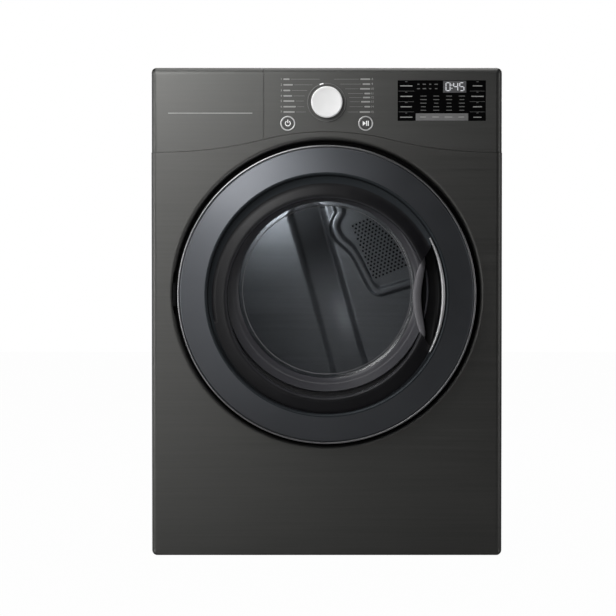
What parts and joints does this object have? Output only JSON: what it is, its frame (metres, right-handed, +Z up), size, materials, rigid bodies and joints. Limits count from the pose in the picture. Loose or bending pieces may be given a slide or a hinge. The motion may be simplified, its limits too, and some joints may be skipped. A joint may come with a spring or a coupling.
{
  "type": "clothes dryer",
  "caption": "Full-size front-load clothes dryer with a round glass door, dial console, touch display, steam drawer and rear exhaust; door, drum, drawer, dial, buttons and filter move.",
  "frame": {"origin": "on the floor, under the middle of the whole machine", "axes": "+X to the right seen from the front, +Y from the front to the back, +Z up"},
  "size_m": [0.686, 0.768, 0.96],
  "materials": {
    "graphite_steel": "brushed dark stainless, satin",
    "console_shell": "metallic dark grey, satin",
    "zinc_sheet": "zinc coated sheet",
    "steel_fasteners": "bright zinc",
    "door_ring_tint": "tinted gloss",
    "bright_trim": "satin chrome",
    "knob_silver": "satin silver",
    "black_gloss": "black gloss",
    "button_dark": "dark grey gloss",
    "tinted_glass": "tinted clear glass",
    "lamp_lens": "frosted lens",
    "door_back_plastic": "dark grey, fine grain",
    "seal_rubber": "soft black",
    "felt": "pressed felt",
    "baffle_plastic": "mid grey",
    "roller_rubber": "hard black rubber",
    "duct_plastic": "natural white",
    "filter_plastic": "dark grey with mesh",
    "drawer_plastic": "light grey",
    "tank_plastic": "milky clear",
    "motor_metal": "cast shells",
    "board_green": "green laminate",
    "gland_plastic": "black nylon"
  },
  "bodies": {
    "cabinet": {"front_panel": "graphite_steel", "left_side_panel": "graphite_steel", "right_side_panel": "graphite_steel", "top_panel": "graphite_steel", "control_panel": "console_shell", "base_pan": "zinc_sheet", "rear_panel": "zinc_sheet", "front_bulkhead": "zinc_sheet", "rear_bulkhead": "zinc_sheet", "air_inlet_grille": "zinc_sheet", "heater_box": "zinc_sheet", "exhaust_duct": "zinc_sheet", "hinge_bracket": "zinc_sheet", "idler_arm": "zinc_sheet", "terminal_cover": "zinc_sheet", "cabinet_screws": "steel_fasteners", "roller_shafts": "steel_fasteners", "hinge_pin": "steel_fasteners", "knob_bezel": "bright_trim", "button_rings": "bright_trim", "display_window": "black_gloss", "drum_lamp": "lamp_lens", "door_latch": "door_back_plastic", "leveling_feet": "seal_rubber", "drum_felt_seals": "felt", "drive_belt": "roller_rubber", "filter_duct": "duct_plastic", "blower_housing": "duct_plastic", "drawer_housing": "duct_plastic", "moisture_sensor": "duct_plastic", "drive_motor": "motor_metal", "control_board": "board_green", "cable_gland": "gland_plastic"},
    "door": {"door_ring": "door_ring_tint", "door_trim_ring": "bright_trim", "door_bowl": "black_gloss", "door_glass": "tinted_glass", "door_inner_frame": "door_back_plastic", "door_seal": "seal_rubber", "door_screws": "steel_fasteners", "door_strike": "door_back_plastic", "handle_trim": "bright_trim", "handle_pocket": "black_gloss", "hinge_leaf": "zinc_sheet"},
    "drum": {"drum_shell": "zinc_sheet", "drum_baffles": "baffle_plastic"},
    "roller_front_left": {"front_left_roller": "roller_rubber"},
    "roller_front_right": {"front_right_roller": "roller_rubber"},
    "roller_rear_left": {"rear_left_roller": "roller_rubber"},
    "roller_rear_right": {"rear_right_roller": "roller_rubber"},
    "motor_rotor": {"motor_pulley": "motor_metal", "blower_wheel": "duct_plastic"},
    "idler": {"idler_pulley": "duct_plastic"},
    "knob": {"control_knob": "knob_silver"},
    "power_key": {"power_button": "button_dark"},
    "start_key": {"start_button": "button_dark"},
    "steam_drawer": {"drawer_front": "console_shell", "drawer_tray": "drawer_plastic", "steam_tank": "tank_plastic"},
    "filter": {"lint_filter": "filter_plastic"}
  },
  "joints": [
    {"name": "door_hinge", "type": "hinge", "parent": "cabinet", "child": "door", "pos_m": [-0.296, -0.358, 0.517], "axis": [0, 0, -1], "range_deg": [0, 120]},
    {"name": "drum_spin", "type": "hinge", "parent": "cabinet", "child": "drum", "pos_m": [0, 0, 0.517], "axis": [0, 1, 0], "continuous": true},
    {"name": "front_left_roller_spin", "type": "hinge", "parent": "cabinet", "child": "roller_front_left", "pos_m": [-0.19978, -0.237, 0.23169], "axis": [0, 1, 0], "continuous": true},
    {"name": "front_right_roller_spin", "type": "hinge", "parent": "cabinet", "child": "roller_front_right", "pos_m": [0.19978, -0.237, 0.23169], "axis": [0, 1, 0], "continuous": true},
    {"name": "rear_left_roller_spin", "type": "hinge", "parent": "cabinet", "child": "roller_rear_left", "pos_m": [-0.19978, 0.225, 0.23169], "axis": [0, 1, 0], "continuous": true},
    {"name": "rear_right_roller_spin", "type": "hinge", "parent": "cabinet", "child": "roller_rear_right", "pos_m": [0.19978, 0.225, 0.23169], "axis": [0, 1, 0], "continuous": true},
    {"name": "motor_spin", "type": "hinge", "parent": "cabinet", "child": "motor_rotor", "pos_m": [0.15, -0.1, 0.104], "axis": [0, 1, 0], "continuous": true},
    {"name": "idler_spin", "type": "hinge", "parent": "cabinet", "child": "idler", "pos_m": [0.06933, -0.03, 0.11166], "axis": [0, 1, 0], "continuous": true},
    {"name": "knob_turn", "type": "hinge", "parent": "cabinet", "child": "knob", "pos_m": [0, -0.344, 0.892], "axis": [0, 1, 0], "continuous": true},
    {"name": "power_press", "type": "slide", "parent": "cabinet", "child": "power_key", "axis": [0, 1, 0], "range_m": [0, 0.0015], "stiffness_N_per_m": 500, "springref_m": -0.002},
    {"name": "start_press", "type": "slide", "parent": "cabinet", "child": "start_key", "axis": [0, 1, 0], "range_m": [0, 0.0015], "stiffness_N_per_m": 500, "springref_m": -0.002},
    {"name": "drawer_slide", "type": "slide", "parent": "cabinet", "child": "steam_drawer", "axis": [0, -1, 0], "range_m": [0, 0.15]},
    {"name": "filter_lift", "type": "slide", "parent": "cabinet", "child": "filter", "axis": [0, 0, -1], "range_m": [-0.175, 0]}
  ],
  "couplings": [
    {"joint": "front_left_roller_spin", "follows": "drum_spin", "ratio": -10.6},
    {"joint": "front_right_roller_spin", "follows": "drum_spin", "ratio": -10.6},
    {"joint": "rear_left_roller_spin", "follows": "drum_spin", "ratio": -10.6},
    {"joint": "rear_right_roller_spin", "follows": "drum_spin", "ratio": -10.6},
    {"joint": "motor_spin", "follows": "drum_spin", "ratio": 28.909},
    {"joint": "idler_spin", "follows": "drum_spin", "ratio": -22.714}
  ]
}
